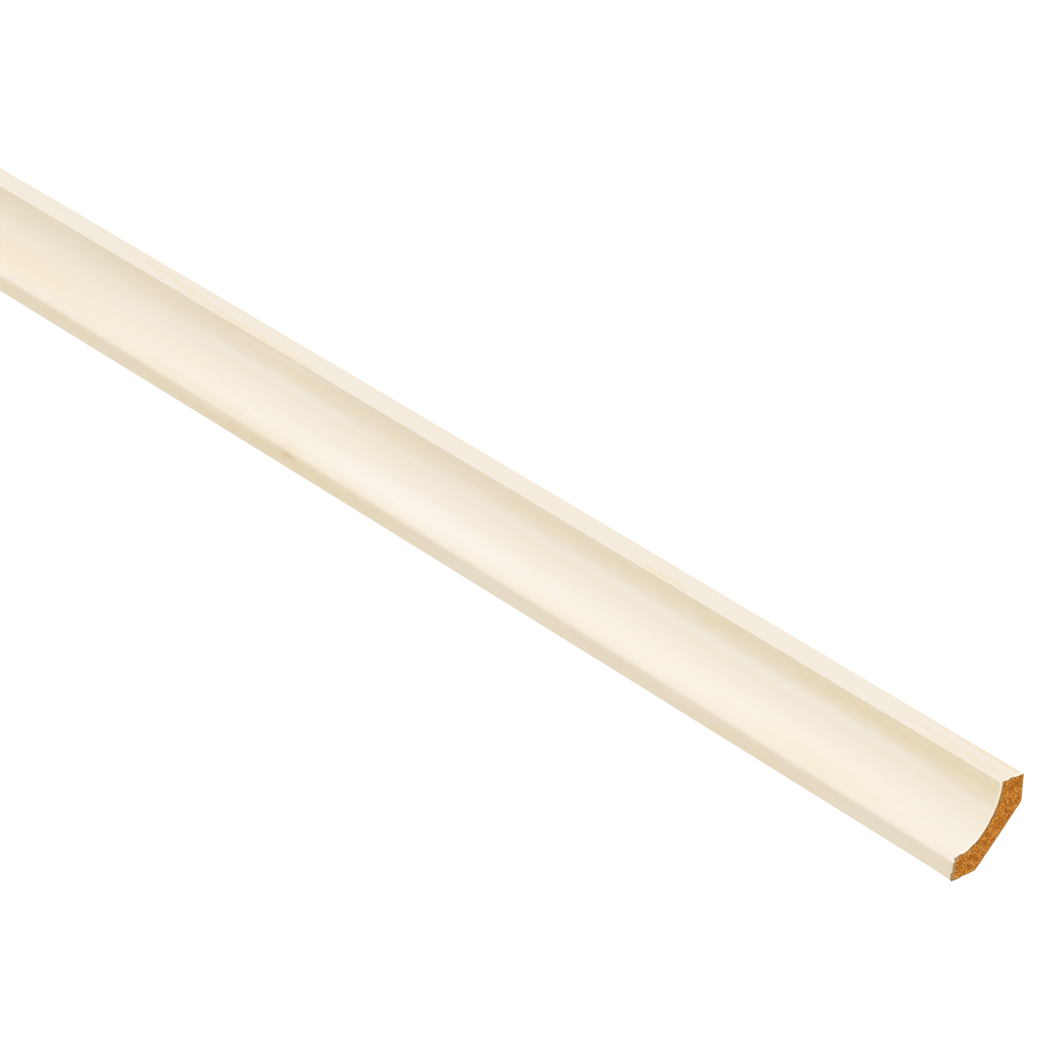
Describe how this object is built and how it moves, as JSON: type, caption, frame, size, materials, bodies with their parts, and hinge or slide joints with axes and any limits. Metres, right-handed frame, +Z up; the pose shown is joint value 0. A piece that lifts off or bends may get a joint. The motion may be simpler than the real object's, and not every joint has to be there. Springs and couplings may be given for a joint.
{
  "type": "crown moulding piece",
  "caption": "Short length of small cove crown moulding in pale bare timber, with flat fillets beside the cove, a bevelled back and square sawn ends.",
  "frame": {"origin": "centre of the flat that meets the wall", "axes": "+X along the moulding, towards the sawn end that is nearer in the picture; +Y into the wall; +Z up as pictured. The piece is shown turned over, so the flat that meets the ceiling faces -Z. Half a turn about Y brings it up to the ceiling."},
  "size_m": [0.6096, 0.0314, 0.0313],
  "materials": {
    "timber": "planed, unfinished"
  },
  "bodies": {
    "root": {"moulding": "timber"}
  },
  "joints": []
}
